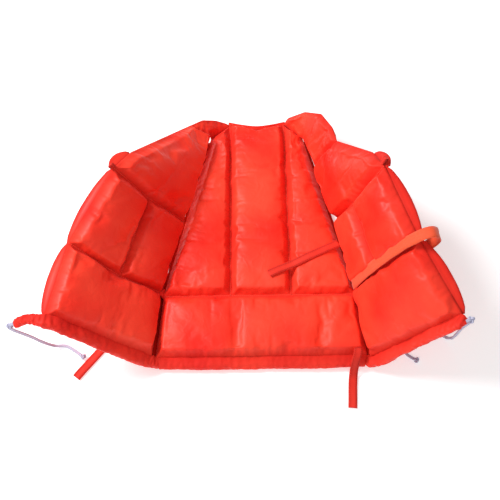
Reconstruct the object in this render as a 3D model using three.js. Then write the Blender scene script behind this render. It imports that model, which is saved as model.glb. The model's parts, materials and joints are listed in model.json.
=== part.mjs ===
// Foam life jacket lying on its back, front panels folded open.
// Millimetres, +Z up, +Y from the hem to the neck, +X to the right of someone looking
// from the hem at the lining. The left front is the one on the -X side.
import * as THREE from 'three';

// ---------- driving dimensions ----------
const FABRIC = 1.2;              // fabric wall, thickened so that it is a solid
const HALF_SEAM = 0.6;           // half of the gap between outer fabric and lining at a seam
const FLANGE = 3;                // flat seam allowance beside each stitch line
const OUTER_RISE = 24;           // pad height from the seam level to the outer face
const INNER_RISE = 20;           // pad height from the seam level to the lining face
const PAD_SLOPE = 18;            // how far a pad's flat face stands in from its seams
const FOAM_CLEAR = 5;            // play between a foam slab's faces and its fabric
const FOAM_SHORT = 5;            // how far a foam slab stops short of its pocket's seams

const SEAM_LEVEL = OUTER_RISE;   // height of the back panel's seams above the ground
const HEM_HALF = 220;            // back panel half width at the hem
const WAIST_HALF = 210;          // back panel half width at the waist seam
const SHOULDER_HALF = 114;       // back panel half width at the armhole top
const SLAB_HALF = 68;            // half width of the centre foam slab
const WAIST_Y = 143;             // waist seam above the hem
const ARMHOLE_TOP_Y = 574;
const NECK_POINT_Y = 618;        // where the back's upright seams end
const NECK_DIP_Y = 604;          // lowest point of the back neckline

const CASING_OUTER = 10;         // hem casing tube, outer and inner radius
const CASING_INNER = 7.5;
const DRAWSTRING_R = 2.6;
const FREE_CORD_R = 3.5;         // drawstring tape outside the casing, 7 mm wide
const KNOT_R = 6.5;
const BELT_WIDTH = 25;
const BELT_THICK = 2;
const TIE_WIDTH = 19;
const TIE_THICK = 2;

// Seam corners of the two front panels. Each panel is cut to the same pattern,
// about 240 wide with blocks 165, 180 and 250 long, and stands open at its own angle.
const LEFT_FRONT = {
  hemFront: [-429, 33, 192], hemArm: [-247, 2, 34],
  waistFront: [-399, 194, 192], waistMid: [-307, 160, 100], waistArm: [-233, 153, 26],
  chestFront: [-310, 346, 239], chestMid: [-251, 335, 136], chestArm: [-186, 330, 40],
  neckFront: [-280, 404, 214], shoulderNeck: [-171, 577, 76], shoulderArm: [-116, 572, 45],
};
const RIGHT_FRONT = {
  hemFront: [383, 15, 216], hemArm: [238, -5, 28],
  waistFront: [312, 162, 246], waistMid: [250, 154, 137], waistArm: [220, 157, 31],
  chestFront: [259, 333, 254], chestMid: [211, 314, 139], chestArm: [196, 335, 33],
  neckFront: [245, 391, 222], shoulderNeck: [183, 482, 140], shoulderArm: [141, 476, 40],
};

// ---------- colours ----------
const finish = (color, roughness) => new THREE.MeshStandardMaterial({ color, roughness, metalness: 0 });
const OUTER_NYLON = () => finish(0xf03a20, 0.45);
const LINING_NYLON = () => finish(0xf8452c, 0.4);
const FOAM_WHITE = () => finish(0xe8e6de, 0.9);
const WEBBING = () => finish(0xff5218, 0.6);
const TAPE_GREY = () => finish(0xd5d3e2, 0.7);
const BLACK_PLASTIC = () => finish(0x18181a, 0.4);

const jacket = new THREE.Group();

function add(name, geometry, material) {
  const mesh = new THREE.Mesh(geometry, material);
  mesh.name = name;
  jacket.add(mesh);
  return mesh;
}

const at = (p) => new THREE.Vector3(...p);

// ---------- sheet work: polygons on a panel, closed into solids ----------
function polygonNormal(points) {
  const normal = new THREE.Vector3();
  points.forEach((p, i) => {
    const q = points[(i + 1) % points.length];
    normal.add(new THREE.Vector3().crossVectors(p, q));
  });
  return normal.normalize();
}

// Moves every side of a polygon inwards by its own distance, in the polygon's plane.
function inset(points, distances, normal) {
  const count = points.length;
  return points.map((p, i) => {
    const before = points[(i + count - 1) % count];
    const after = points[(i + 1) % count];
    const inA = new THREE.Vector3().crossVectors(normal, p.clone().sub(before)).normalize();
    const inB = new THREE.Vector3().crossVectors(normal, after.clone().sub(p)).normalize();
    const dA = distances[(i + count - 1) % count];
    const dB = distances[i];
    const cosine = inA.dot(inB);
    const moved = p.clone();
    if (cosine > 0.97) {
      moved.addScaledVector(inA.add(inB).normalize(), (dA + dB) / 2);
      return moved;
    }
    const scale = 1 / (1 - cosine * cosine);
    moved.addScaledVector(inA, (dA - dB * cosine) * scale);
    moved.addScaledVector(inB, (dB - dA * cosine) * scale);
    return moved;
  });
}

const lift = (points, normal, height) => points.map((p) => p.clone().addScaledVector(normal, height));
const even = (points, distance) => points.map(() => distance);

function closedGeometry(vertices, triangles) {
  const geometry = new THREE.BufferGeometry().setFromPoints(vertices);
  geometry.setIndex(triangles);
  return geometry;
}

const middle = (points) => points
  .reduce((sum, p) => sum.add(p), new THREE.Vector3()).divideScalar(points.length);

// Skins a stack of rings of equal length, with a cap fanned from its middle at each end.
// Below the middle ring the diagonals turn the other way, as they do in the fabric around it.
function loftRings(rings) {
  const count = rings[0].length;
  const vertices = rings.flat();
  const bottomMiddle = vertices.push(middle(rings[0])) - 1;
  const topMiddle = vertices.push(middle(rings[rings.length - 1])) - 1;
  const triangles = [];
  for (let layer = 0; layer < rings.length - 1; layer += 1) {
    for (let i = 0; i < count; i += 1) {
      const j = (i + 1) % count;
      const low = layer * count;
      const high = low + count;
      if (layer < (rings.length - 1) / 2) {
        triangles.push(low + i, low + j, high + i, low + j, high + j, high + i);
      } else {
        triangles.push(low + i, low + j, high + j, low + i, high + j, high + i);
      }
    }
  }
  const top = (rings.length - 1) * count;
  for (let i = 0; i < count; i += 1) {
    const j = (i + 1) % count;
    triangles.push(bottomMiddle, j, i, topMiddle, top + i, top + j);
  }
  return closedGeometry(vertices, triangles);
}

// A foam slab: full width at the seam level, tapering to its two flat faces.
function foamSlab(points) {
  const normal = polygonNormal(points);
  const waist = inset(points, even(points, FLANGE + FOAM_SHORT), normal);
  const face = inset(points, even(points, PAD_SLOPE + FOAM_SHORT), normal);
  return loftRings([
    lift(face, normal, -(OUTER_RISE - FABRIC - FOAM_CLEAR)),
    waist,
    lift(face, normal, INNER_RISE - FABRIC - FOAM_CLEAR),
  ]);
}

// One layer of fabric over a set of pads: flat at the stitch lines and raised over each
// pad. side is +1 for the lining and -1 for the outer fabric.
function quiltedSheet(corners, blocks, side, rise) {
  const names = Object.keys(corners);
  const normals = Object.fromEntries(names.map((name) => [name, new THREE.Vector3()]));
  const polygons = blocks.map((block) => block.map((name) => corners[name]));
  polygons.forEach((points, b) => {
    blocks[b].forEach((name) => normals[name].add(polygonNormal(points)));
  });
  names.forEach((name) => normals[name].normalize());

  const vertices = [];
  const triangles = [];
  const push = (p) => vertices.push(p) - 1;
  const skins = [
    { seam: HALF_SEAM + FABRIC, base: FLANGE, top: rise, face: PAD_SLOPE, turn: side },
    { seam: HALF_SEAM, base: FLANGE + 1.5, top: rise - FABRIC, face: PAD_SLOPE + 0.5, turn: -side },
  ];
  const seamIndex = skins.map((skin) => Object.fromEntries(names.map((name) => [
    name, push(corners[name].clone().addScaledVector(normals[name], side * skin.seam)),
  ])));
  const face = (turn, a, b, c) => triangles.push(a, turn > 0 ? b : c, turn > 0 ? c : b);
  const quad = (turn, a, b, c, d) => {
    face(turn, a, b, c);
    face(turn, a, c, d);
  };
  skins.forEach((skin, s) => {
    polygons.forEach((points, b) => {
      const normal = polygonNormal(points);
      const ringAt = (distance, height) => lift(
        inset(points, even(points, distance), normal), normal, side * height).map(push);
      const seam = blocks[b].map((name) => seamIndex[s][name]);
      const base = ringAt(skin.base, skin.seam);
      const top = ringAt(skin.face, skin.top);
      const crown = push(middle(top.map((index) => vertices[index])));
      points.forEach((_, i) => {
        const j = (i + 1) % points.length;
        quad(skin.turn, seam[i], seam[j], base[j], base[i]);
        quad(skin.turn, base[i], base[j], top[j], top[i]);
        face(skin.turn, crown, top[i], top[j]);
      });
    });
  });

  // the cut edge of the fabric, along every side that belongs to one pad only
  const sides = new Set(blocks.flatMap((block) => block.map((n, i) => `${n}>${block[(i + 1) % block.length]}`)));
  blocks.forEach((block) => block.forEach((from, i) => {
    const to = block[(i + 1) % block.length];
    if (!sides.has(`${to}>${from}`)) {
      quad(side, seamIndex[1][from], seamIndex[1][to], seamIndex[0][to], seamIndex[0][from]);
    }
  }));
  return closedGeometry(vertices, triangles);
}

// ---------- straps and cords ----------
// A flat band. profile is a list of [along, height] points in the band's own frame.
function band(profile, thickness, width, origin, along, up) {
  const centre = profile.map((p) => new THREE.Vector2(...p));
  const offsetSide = (sign) => centre.map((p, i) => {
    const a = centre[Math.max(i - 1, 0)];
    const b = centre[Math.min(i + 1, centre.length - 1)];
    const square = b.clone().sub(a).normalize().rotateAround(new THREE.Vector2(), Math.PI / 2);
    return p.clone().addScaledVector(square, sign * thickness / 2);
  });
  const outline = new THREE.Shape([...offsetSide(-1), ...offsetSide(1).reverse()]);
  const geometry = new THREE.ExtrudeGeometry(outline, { depth: width, bevelEnabled: false });
  geometry.translate(0, 0, -width / 2);
  const x = along.clone().normalize();
  const z = new THREE.Vector3().crossVectors(x, up).normalize();
  const y = new THREE.Vector3().crossVectors(z, x);
  geometry.applyMatrix4(new THREE.Matrix4().makeBasis(x, y, z).setPosition(origin));
  return geometry;
}

function ringShape(outer, inner) {
  const ring = new THREE.Shape().absarc(0, 0, outer, 0, Math.PI * 2, false);
  if (inner > 0) {
    ring.holes.push(new THREE.Path().absarc(0, 0, inner, 0, Math.PI * 2, true));
  }
  return ring;
}

function tube(points, outer, inner, steps, sides) {
  return new THREE.ExtrudeGeometry(ringShape(outer, inner), {
    extrudePath: new THREE.CatmullRomCurve3(points.map(at), false, 'centripetal'),
    steps,
    curveSegments: sides / 2,
    bevelEnabled: false,
  });
}

// ---------- back panel ----------
const BACK = {
  hemLeft: [-HEM_HALF, 0, SEAM_LEVEL], hemRight: [HEM_HALF, 0, SEAM_LEVEL],
  waistLeft: [-WAIST_HALF, WAIST_Y, SEAM_LEVEL], waistRight: [WAIST_HALF, WAIST_Y, SEAM_LEVEL],
  slabLeft: [-SLAB_HALF, WAIST_Y, SEAM_LEVEL], slabRight: [SLAB_HALF, WAIST_Y, SEAM_LEVEL],
  neckLeft: [-SLAB_HALF, NECK_POINT_Y, SEAM_LEVEL], neckRight: [SLAB_HALF, NECK_POINT_Y, SEAM_LEVEL],
  neckDip: [0, NECK_DIP_Y, SEAM_LEVEL],
  armLeft: [-SHOULDER_HALF, ARMHOLE_TOP_Y, SEAM_LEVEL],
  armRight: [SHOULDER_HALF, ARMHOLE_TOP_Y, SEAM_LEVEL],
};
const BACK_BLOCKS = {
  lower: ['hemLeft', 'hemRight', 'waistRight', 'slabRight', 'slabLeft', 'waistLeft'],
  left: ['waistLeft', 'slabLeft', 'neckLeft', 'armLeft'],
  centre: ['slabLeft', 'slabRight', 'neckRight', 'neckDip', 'neckLeft'],
  right: ['slabRight', 'waistRight', 'armRight', 'neckRight'],
};

function makePanel(prefix, cornerTable, blocks) {
  const corners = Object.fromEntries(Object.entries(cornerTable).map(([name, p]) => [name, at(p)]));
  const loops = Object.values(blocks);
  add(`${prefix}_outer_fabric`, quiltedSheet(corners, loops, -1, OUTER_RISE), OUTER_NYLON());
  add(`${prefix}_lining`, quiltedSheet(corners, loops, 1, INNER_RISE), LINING_NYLON());
  Object.entries(blocks).forEach(([block, names]) => {
    add(`${prefix}_${block}_foam`, foamSlab(names.map((name) => corners[name])), FOAM_WHITE());
  });
  return corners;
}

makePanel('back', BACK, BACK_BLOCKS);

// Facing tape that binds the neckline, just clear of the fabric's edge.
const facingRise = 6;
add('neck_facing', tube([
  [-SLAB_HALF - 4, NECK_POINT_Y + facingRise, SEAM_LEVEL], [-SLAB_HALF / 2, NECK_DIP_Y + 11, SEAM_LEVEL],
  [0, NECK_DIP_Y + 5.5, SEAM_LEVEL], [SLAB_HALF / 2, NECK_DIP_Y + 11, SEAM_LEVEL],
  [SLAB_HALF + 4, NECK_POINT_Y + facingRise, SEAM_LEVEL],
], 3, 0, 12, 8), LINING_NYLON());

// ---------- front panels ----------
// Loops run counter-clockwise seen from the lining, so the right panel lists them mirrored.
const FRONT_BLOCKS = {
  lower: ['hemFront', 'hemArm', 'waistArm', 'waistMid', 'waistFront'],
  mid_front: ['waistFront', 'waistMid', 'chestMid', 'chestFront'],
  mid_arm: ['waistMid', 'waistArm', 'chestArm', 'chestMid'],
  shoulder: ['chestFront', 'chestMid', 'chestArm', 'shoulderArm', 'shoulderNeck', 'neckFront'],
};
const MIRRORED_BLOCKS = Object.fromEntries(
  Object.entries(FRONT_BLOCKS).map(([block, names]) => [block, [...names].reverse()]));

const leftCorners = makePanel('left', LEFT_FRONT, FRONT_BLOCKS);
const rightCorners = makePanel('right', RIGHT_FRONT, MIRRORED_BLOCKS);

// ---------- shoulder straps: light pads between the back's top and each front ----------
const STRAP_RISE = 9;
function strapPad(points) {
  const corners = points.map(at);
  const normal = polygonNormal(corners);
  const face = inset(corners, even(corners, 8), normal);
  return loftRings([lift(face, normal, -STRAP_RISE), corners, lift(face, normal, STRAP_RISE)]);
}
add('left_shoulder_strap', strapPad([
  [-119, 584, 46], [-108, 590, 34], [-74, 628, 34], [-100, 634, 58], [-166, 590, 78],
]), OUTER_NYLON());
add('right_shoulder_strap', strapPad([
  [146, 482, 46], [181, 487, 138], [156, 584, 105], [119, 612, 78], [79, 627, 37], [114, 585, 37],
]), OUTER_NYLON());

// ---------- hem casings with the drawstring inside ----------
const CASING_DROP = 14;
const hemRun = {
  back: [[-HEM_HALF + 2, -CASING_DROP, 16], [0, -CASING_DROP, 14], [HEM_HALF - 2, -CASING_DROP, 16]],
  left: [[-246, -14, 30], [-336, -1, 109], [-428, 16, 186], [-462, 28, 188], [-491, 24, 178]],
  right: [[237, -19, 24], [310, -9, 118], [372, -1, 198], [380, 1, 206], [388, 3, 209]],
};
Object.entries(hemRun).forEach(([side, points]) => {
  add(`${side}_hem_casing`, tube(points, CASING_OUTER, CASING_INNER, 14, 12), OUTER_NYLON());
  add(`${side}_drawstring`, tube(points, DRAWSTRING_R, 0, 14, 8), TAPE_GREY());
});

// Free ends of the drawstring: they drop from the mouths of the casing and lie on the ground.
const freeCords = {
  left: [[-491.8, 23.9, 177.6], [-499, 23, 173], [-503, 22, 163], [-502, 22, 148], [-496, 25, 125], [-484, 30, 85],
    [-467, 33, 38], [-451, 36, 10], [-431, 38, 3.6], [-412, 28, 3.6], [-394, 15, 3.6]],
  right: [[388.8, 3.2, 209.4], [395, 4.7, 211], [401, 6.5, 208], [404, 8.5, 198], [404, 10, 186],
    [402, 12, 165], [402, 16, 135], [405, 21, 95], [408, 29, 45], [405, 43, 12],
    [392, 57, 3.6], [375, 59, 3.6], [351, 50, 3.6], [323, 36, 3.6], [309, 24, 3.6],
    [316, 9, 3.6], [331, -3, 3.6]],
};
Object.entries(freeCords).forEach(([side, points]) => {
  const steps = side === 'left' ? 24 : 38;
  add(`${side}_drawstring_end`, tube(points, FREE_CORD_R, 0, steps, 8), TAPE_GREY());
  const [last, previous] = [at(points[points.length - 1]), at(points[points.length - 2])];
  const beyond = last.clone().sub(previous).setLength(KNOT_R + 0.5);
  const knot = new THREE.SphereGeometry(KNOT_R, 10, 7);
  knot.translate(last.x + beyond.x, last.y + beyond.y, KNOT_R);
  add(`${side}_drawstring_knot`, knot, TAPE_GREY());
});

// ---------- waist belt and buckle ----------
const backBeltLevel = OUTER_RISE - BELT_THICK - 0.5;
const frontBeltLevel = OUTER_RISE + 4;
const BELT_START = 30;
add('back_belt', band([[0, 0], [2 * (WAIST_HALF - 6), 0]], BELT_THICK, BELT_WIDTH,
  new THREE.Vector3(-WAIST_HALF + 6, WAIST_Y, SEAM_LEVEL - backBeltLevel),
  new THREE.Vector3(1, 0, 0), new THREE.Vector3(0, 0, 1)), WEBBING());

// Frame of a front panel's waist seam: along it from the arm side, and square to the panel.
function waistFrame(corners, mirrored) {
  const along = corners.waistFront.clone().sub(corners.waistArm);
  const upward = corners.chestArm.clone().sub(corners.hemArm);
  const inward = new THREE.Vector3().crossVectors(upward, along)
    .multiplyScalar(mirrored ? -1 : 1).normalize();
  return { origin: corners.waistArm, along, inward, length: along.length() };
}
const leftWaist = waistFrame(leftCorners, false);
const rightWaist = waistFrame(rightCorners, true);

const PLUG_LENGTH = 46;
const SOCKET_LENGTH = 52;
const BUCKLE_WIDTH = 40;
const BUCKLE_THICK = 9;
const PLUG_THICK = 5;
const buckleGap = 2;
const buckleStandOff = 5;

function frontBelt(name, frame, reach) {
  add(name, band([[BELT_START, -frontBeltLevel], [reach, -frontBeltLevel]], BELT_THICK, BELT_WIDTH,
    frame.origin, frame.along, frame.inward), WEBBING());
}
const BUCKLE_INSET = 30;         // each buckle half stops this far short of the front edge
const leftReach = leftWaist.length - PLUG_LENGTH - buckleGap - BUCKLE_INSET;
const rightReach = rightWaist.length - SOCKET_LENGTH - buckleGap - BUCKLE_INSET;
frontBelt('left_belt', leftWaist, leftReach);
frontBelt('right_belt', rightWaist, rightReach);

// The spare end of the belt turns over the right front edge and lies along the lining's waist seam.
add('belt_tail', band([
  [rightWaist.length - 24, -OUTER_RISE - 10], [rightWaist.length + 8, -OUTER_RISE - 11],
  [rightWaist.length + 34, -OUTER_RISE + 2], [rightWaist.length + 38, 2],
  [rightWaist.length + 22, 23], [rightWaist.length - 20, 35], [rightWaist.length / 2, 37], [50, 35], [24, 30],
], BELT_THICK, BELT_WIDTH, rightWaist.origin, rightWaist.along, rightWaist.inward), WEBBING());

// Side-release buckle, parted: a three-pronged plug on the left, its socket on the right.
function outlineSolid(points, thickness, hole) {
  const outline = new THREE.Shape(points.map((p) => new THREE.Vector2(...p)));
  if (hole) {
    outline.holes.push(new THREE.Path(hole.map((p) => new THREE.Vector2(...p))));
  }
  return new THREE.ExtrudeGeometry(outline, { depth: thickness, bevelEnabled: false });
}
function placeOnWaist(geometry, frame, reach, depth) {
  const x = frame.along.clone().normalize();
  const z = frame.inward.clone();
  const y = new THREE.Vector3().crossVectors(z, x);
  const origin = frame.origin.clone().addScaledVector(x, reach).addScaledVector(z, depth);
  return geometry.applyMatrix4(new THREE.Matrix4().makeBasis(x, y, z).setPosition(origin));
}
const halfBuckle = BUCKLE_WIDTH / 2;
const plugOutline = [
  [0, -halfBuckle], [20, -halfBuckle], [20, -16], [40, -18], [44, -12], [24, -9], [24, -3], [44, -2],
  [44, 2], [24, 3], [24, 9], [44, 12], [40, 18], [20, 16], [20, halfBuckle], [0, halfBuckle],
];
const webbingSlot = [[5, -15], [5, 15], [9, 15], [9, -15]];
add('buckle_plug', placeOnWaist(outlineSolid(plugOutline, PLUG_THICK, webbingSlot),
  leftWaist, leftReach + buckleGap, -OUTER_RISE - buckleStandOff - PLUG_THICK), BLACK_PLASTIC());
const socketOutline = [
  [0, -halfBuckle], [SOCKET_LENGTH - 10, -halfBuckle - 2], [SOCKET_LENGTH, -halfBuckle + 4],
  [SOCKET_LENGTH, halfBuckle - 4], [SOCKET_LENGTH - 10, halfBuckle + 2], [0, halfBuckle],
];
add('buckle_socket', placeOnWaist(outlineSolid(socketOutline, BUCKLE_THICK, webbingSlot),
  rightWaist, rightReach + buckleGap, -OUTER_RISE - buckleStandOff - BUCKLE_THICK), BLACK_PLASTIC());

// ---------- fabric ties ----------
function tie(name, start, end, profile) {
  const along = end.clone().sub(start).setZ(0);
  const upward = new THREE.Vector3(0, 0, 1);
  add(name, band(profile(along.length()), TIE_THICK, TIE_WIDTH, start, along, upward), OUTER_NYLON());
}
const liningTop = SEAM_LEVEL + INNER_RISE;
tie('back_tie', at([180, 259, 0]), at([19, 184, 0]),
  (length) => [[0, liningTop + 3], [length, liningTop + 2]]);
tie('right_side_tie', at([205, 9, 0]), at([189, -108, 0]),
  (length) => [[0, 46], [9, 43], [18, 37], [27, 30], [38, 22], [45, 11], [55, 3.5], [length, 2]]);
tie('left_side_tie', at([-315, 76, 0]), at([-401, -34, 0]),
  (length) => [[0, 2], [length, 2]]);

// ---------- small folded fabric tabs at the front edge of the chest seams ----------
function chestTab(name, corners, mirrored) {
  const outward = corners.chestFront.clone().sub(corners.chestArm).normalize();
  const upward = corners.neckFront.clone().sub(corners.chestFront);
  const square = new THREE.Vector3().crossVectors(outward, upward).multiplyScalar(mirrored ? -1 : 1);
  add(name, band([[1.5, 0], [19, 0]], 3, 12, corners.chestFront, outward, square), OUTER_NYLON());
}
chestTab('left_chest_tab', leftCorners, false);
chestTab('right_chest_tab', rightCorners, true);

// The origin is the middle of the jacket's footprint.
const FOOTPRINT_CENTRE = [-51.2, 262.15];
jacket.position.set(-FOOTPRINT_CENTRE[0], -FOOTPRINT_CENTRE[1], 0);

export default jacket;
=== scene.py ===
import json
import math

import bpy
import numpy as np
from mathutils import Matrix, Vector, noise
from mathutils.bvhtree import BVHTree


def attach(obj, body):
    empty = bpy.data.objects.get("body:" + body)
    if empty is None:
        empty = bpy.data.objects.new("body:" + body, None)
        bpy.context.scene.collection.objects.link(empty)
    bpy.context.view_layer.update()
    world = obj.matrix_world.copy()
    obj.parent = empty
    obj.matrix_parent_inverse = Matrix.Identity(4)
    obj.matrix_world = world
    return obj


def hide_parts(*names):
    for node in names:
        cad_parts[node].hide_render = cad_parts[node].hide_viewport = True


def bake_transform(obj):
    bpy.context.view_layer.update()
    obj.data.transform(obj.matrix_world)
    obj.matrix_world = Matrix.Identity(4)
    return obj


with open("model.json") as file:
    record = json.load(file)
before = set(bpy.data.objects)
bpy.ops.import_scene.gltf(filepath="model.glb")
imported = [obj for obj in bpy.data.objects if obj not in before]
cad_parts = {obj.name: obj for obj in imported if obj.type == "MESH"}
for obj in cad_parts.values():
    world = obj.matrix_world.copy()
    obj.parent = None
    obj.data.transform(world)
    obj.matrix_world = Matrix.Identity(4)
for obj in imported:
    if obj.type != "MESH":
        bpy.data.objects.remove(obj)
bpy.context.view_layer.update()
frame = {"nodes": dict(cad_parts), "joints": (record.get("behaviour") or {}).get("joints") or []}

# ---------- Place, camera and light ----------
# The jacket is measured in millimetres from the middle of the back's hem seam, +Y to the neck.
# The left hinge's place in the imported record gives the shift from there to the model's own frame.
joint_at = {joint["name"]: np.array(joint["pos_m"]) for joint in frame["joints"]}
SHIFT = joint_at["left_front_hinge"] * 1000 - np.array([-258, 0, 28])


def placed(points):
    return (np.asarray(points, float) + SHIFT) / 1000


def unit(v):
    v = np.asarray(v, float)
    return v / np.maximum(np.linalg.norm(v, axis=-1, keepdims=True), 1e-9)


def add_object(name, data):
    made = bpy.data.objects.new(name, data)
    bpy.context.scene.collection.objects.link(made)
    return made


camera = add_object("camera", bpy.data.cameras.new("camera"))
camera.data.sensor_width = 36
camera.data.lens = 50.4
STANDS_AT = np.array([-36.5, -488.6, 1467.9])
LOOKS_AT = np.array([-23.0, 240.6, 60.0])
ROLL = math.radians(0.22)
camera.location = placed(STANDS_AT)
camera.rotation_euler = (Vector(LOOKS_AT - STANDS_AT).to_track_quat("-Z", "Y").to_matrix()
                         @ Matrix.Rotation(ROLL, 3, "Z")).to_euler()
bpy.context.scene.camera = camera


def fill(tree, node, values=None, links=None):
    """Gives a node's sockets their constants, and their links from other nodes' outputs."""
    for key, value in (values or {}).items():
        node.inputs[key].default_value = value
    for key, source in (links or {}).items():
        tree.links.new(source, node.inputs[key])
    return node


def paint(name):
    """A new material with its shader node."""
    made = bpy.data.materials.new(name)
    made.use_nodes = True
    return made, made.node_tree, made.node_tree.nodes["Principled BSDF"]


def softbox(name, at, size, watts):
    """A round lamp aimed at the middle of the jacket."""
    light = add_object(name, bpy.data.lights.new(name, "AREA"))
    light.data.shape = "DISK"
    light.data.size = size
    light.data.energy = watts
    light.location = at
    light.rotation_euler = (JACKET_MIDDLE - Vector(at)).to_track_quat("-Z", "Y").to_euler()


JACKET_MIDDLE = Vector((0, 0, 0.1))
WHITE = (1, 1, 1, 1)
softbox("key_light", (-1.75, 0.6, 2.1), 1.2, 80)
softbox("fill_light", (-0.4, -1.6, 1.9), 1.6, 10)
world = bpy.data.worlds.new("studio")
world.use_nodes = True
fill(world.node_tree, world.node_tree.nodes["Background"], {"Color": WHITE, "Strength": 0.42})
bpy.context.scene.world = world
bpy.context.scene.view_settings.view_transform = "Standard"

FLOOR_REACH = 6
FLOOR_LEVEL = -0.0005
floor_mesh = bpy.data.meshes.new("floor")
floor_mesh.from_pydata([(x * FLOOR_REACH, y * FLOOR_REACH, FLOOR_LEVEL)
                        for x, y in ((-1, -1), (1, -1), (1, 1), (-1, 1))], [], [(0, 1, 2, 3)])
floor = add_object("floor", floor_mesh)
floor_paint, tree, shader = paint("pale_floor")
fill(tree, shader, {"Base Color": (0.93, 0.93, 0.93, 1), "Roughness": 0.9,
                    "Emission Color": WHITE, "Emission Strength": 0.38})
floor.data.materials.append(floor_paint)


# ---------- Free ends of the drawstring ----------
# Flat woven tape, pale grey, 7 mm wide. Each end leaves the mouth of the hem casing, is knotted there
# so that it can't slip back, hangs to the ground and ends in a second knot.
TAPE_WIDTH = 7.0
TAPE_THICK = 4.6
MOUTH_KNOT_STEP = 14
CORD_ROUTES = {
    "left": [[-491.8, 23.9, 177.6], [-499, 23, 173], [-503, 22, 163], [-502, 22, 148], [-496, 25, 125],
             [-484, 30, 85], [-467, 33, 38], [-451, 36, 10], [-431, 38, 3.6], [-412, 28, 3.6],
             [-394, 15, 3.6]],
    "right": [[388.8, 3.2, 209.4], [395, 4.7, 211], [401, 6.5, 208], [404, 8.5, 198], [404, 10, 186],
              [402, 12, 165], [402, 16, 135], [405, 21, 95], [408, 29, 45], [405, 43, 12], [392, 57, 3.6],
              [375, 59, 3.6], [351, 50, 3.6], [323, 36, 3.6], [309, 24, 3.6], [316, 9, 3.6], [331, -3, 3.6]],
}


def smooth_line(points, per_span):
    """A centripetal curve through the points."""
    p = np.asarray(points, float)
    p = np.vstack([2 * p[0] - p[1], p, 2 * p[-1] - p[-2]])
    line = []
    for a, b, c, d in zip(p[:-3], p[1:-2], p[2:-1], p[3:]):
        ta, tb, tc = (max(np.linalg.norm(x), 1e-6) ** 0.5 for x in (b - a, c - b, d - c))
        start = ((b - a) / ta - (c - a) / (ta + tb) + (c - b) / tb) * tb
        finish = ((c - b) / tb - (d - b) / (tb + tc) + (d - c) / tc) * tb
        for t in np.arange(per_span) / per_span:
            line.append((2 * t**3 - 3 * t**2 + 1) * b + (t**3 - 2 * t**2 + t) * start
                        + (3 * t**2 - 2 * t**3) * c + (t**3 - t**2) * finish)
    return np.array(line + [p[-2]])


def line_steps(line):
    return np.concatenate([[0], np.cumsum(np.linalg.norm(np.diff(line, axis=0), axis=1))])


def mesh_piece(name, points, faces, cloth=None, material=None):
    """A piece from points in jacket millimetres. cloth holds each point's place along and across the flat
    fabric, and its distance from the nearest seam or edge, in metres."""
    mesh = bpy.data.meshes.new(name)
    mesh.from_pydata([tuple(p) for p in placed(points)], [], [tuple(int(i) for i in f) for f in faces])
    if cloth is not None:
        spread = mesh.attributes.new("cloth_place", "FLOAT_VECTOR", "POINT")
        spread.data.foreach_set("vector", np.asarray(cloth, np.float32).ravel())
    mesh.shade_smooth()
    if material:
        mesh.materials.append(material)
    return add_object(name, mesh)


def lofted(rings, closed_ends=True):
    """Points and faces of a tube through rings of equal count."""
    rings = np.asarray(rings, float)
    rows, count = rings.shape[:2]
    faces = []
    for r in range(rows - 1):
        for i in range(count):
            j = (i + 1) % count
            faces.append((r * count + i, r * count + j, (r + 1) * count + j, (r + 1) * count + i))
    points = rings.reshape(-1, 3)
    if closed_ends:
        ends = [rings[0].mean(0), rings[-1].mean(0)]
        points = np.vstack([points, ends])
        first, last = rows * count, rows * count + 1
        for i in range(count):
            j = (i + 1) % count
            faces.append((first, j, i))
            faces.append((last, (rows - 1) * count + i, (rows - 1) * count + j))
    return points, faces


EDGE_ROUND = 0.35
RIPPLE_LENGTH = 22


def ribbon(name, line, across, width, thick, material, ripple=0.0, seed=0.0):
    """A flat strap along a line. across is the direction of its width, and both may vary along the line."""
    line = np.asarray(line, float)
    across = np.broadcast_to(np.asarray(across, float), line.shape)
    travel = unit(np.gradient(line, axis=0))
    side = unit(across - (across * travel).sum(1, keepdims=True) * travel)
    out = np.cross(travel, side)
    run = line_steps(line)
    halves = np.broadcast_to(np.asarray(width, float) / 2, len(line))
    half, thin = halves.max(), thick / 2
    shoulder = 1 - EDGE_ROUND * thin / half
    top = [(-shoulder, 1), (-0.5, 1), (0, 1), (0.5, 1), (shoulder, 1)]
    profile = [(-1, 0), *top, (1, 0), *[(a, -b) for a, b in reversed(top)]]
    rings, cloth = [], []
    for k in range(len(line)):
        ring = []
        for a, b in profile:
            wave = ripple * noise.noise(Vector((run[k] / RIPPLE_LENGTH + seed, a * 1.3, seed)))
            ring.append(line[k] + side[k] * a * halves[k] + out[k] * (b * thin + wave))
            cloth.append((run[k] / 1000, a * halves[k] / 1000, halves[k] * (1 - abs(a)) / 1000))
        rings.append(ring)
    points, faces = lofted(rings)
    cloth += [cloth[0], cloth[-1]]
    return mesh_piece(name, points, faces, cloth, material)


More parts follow.
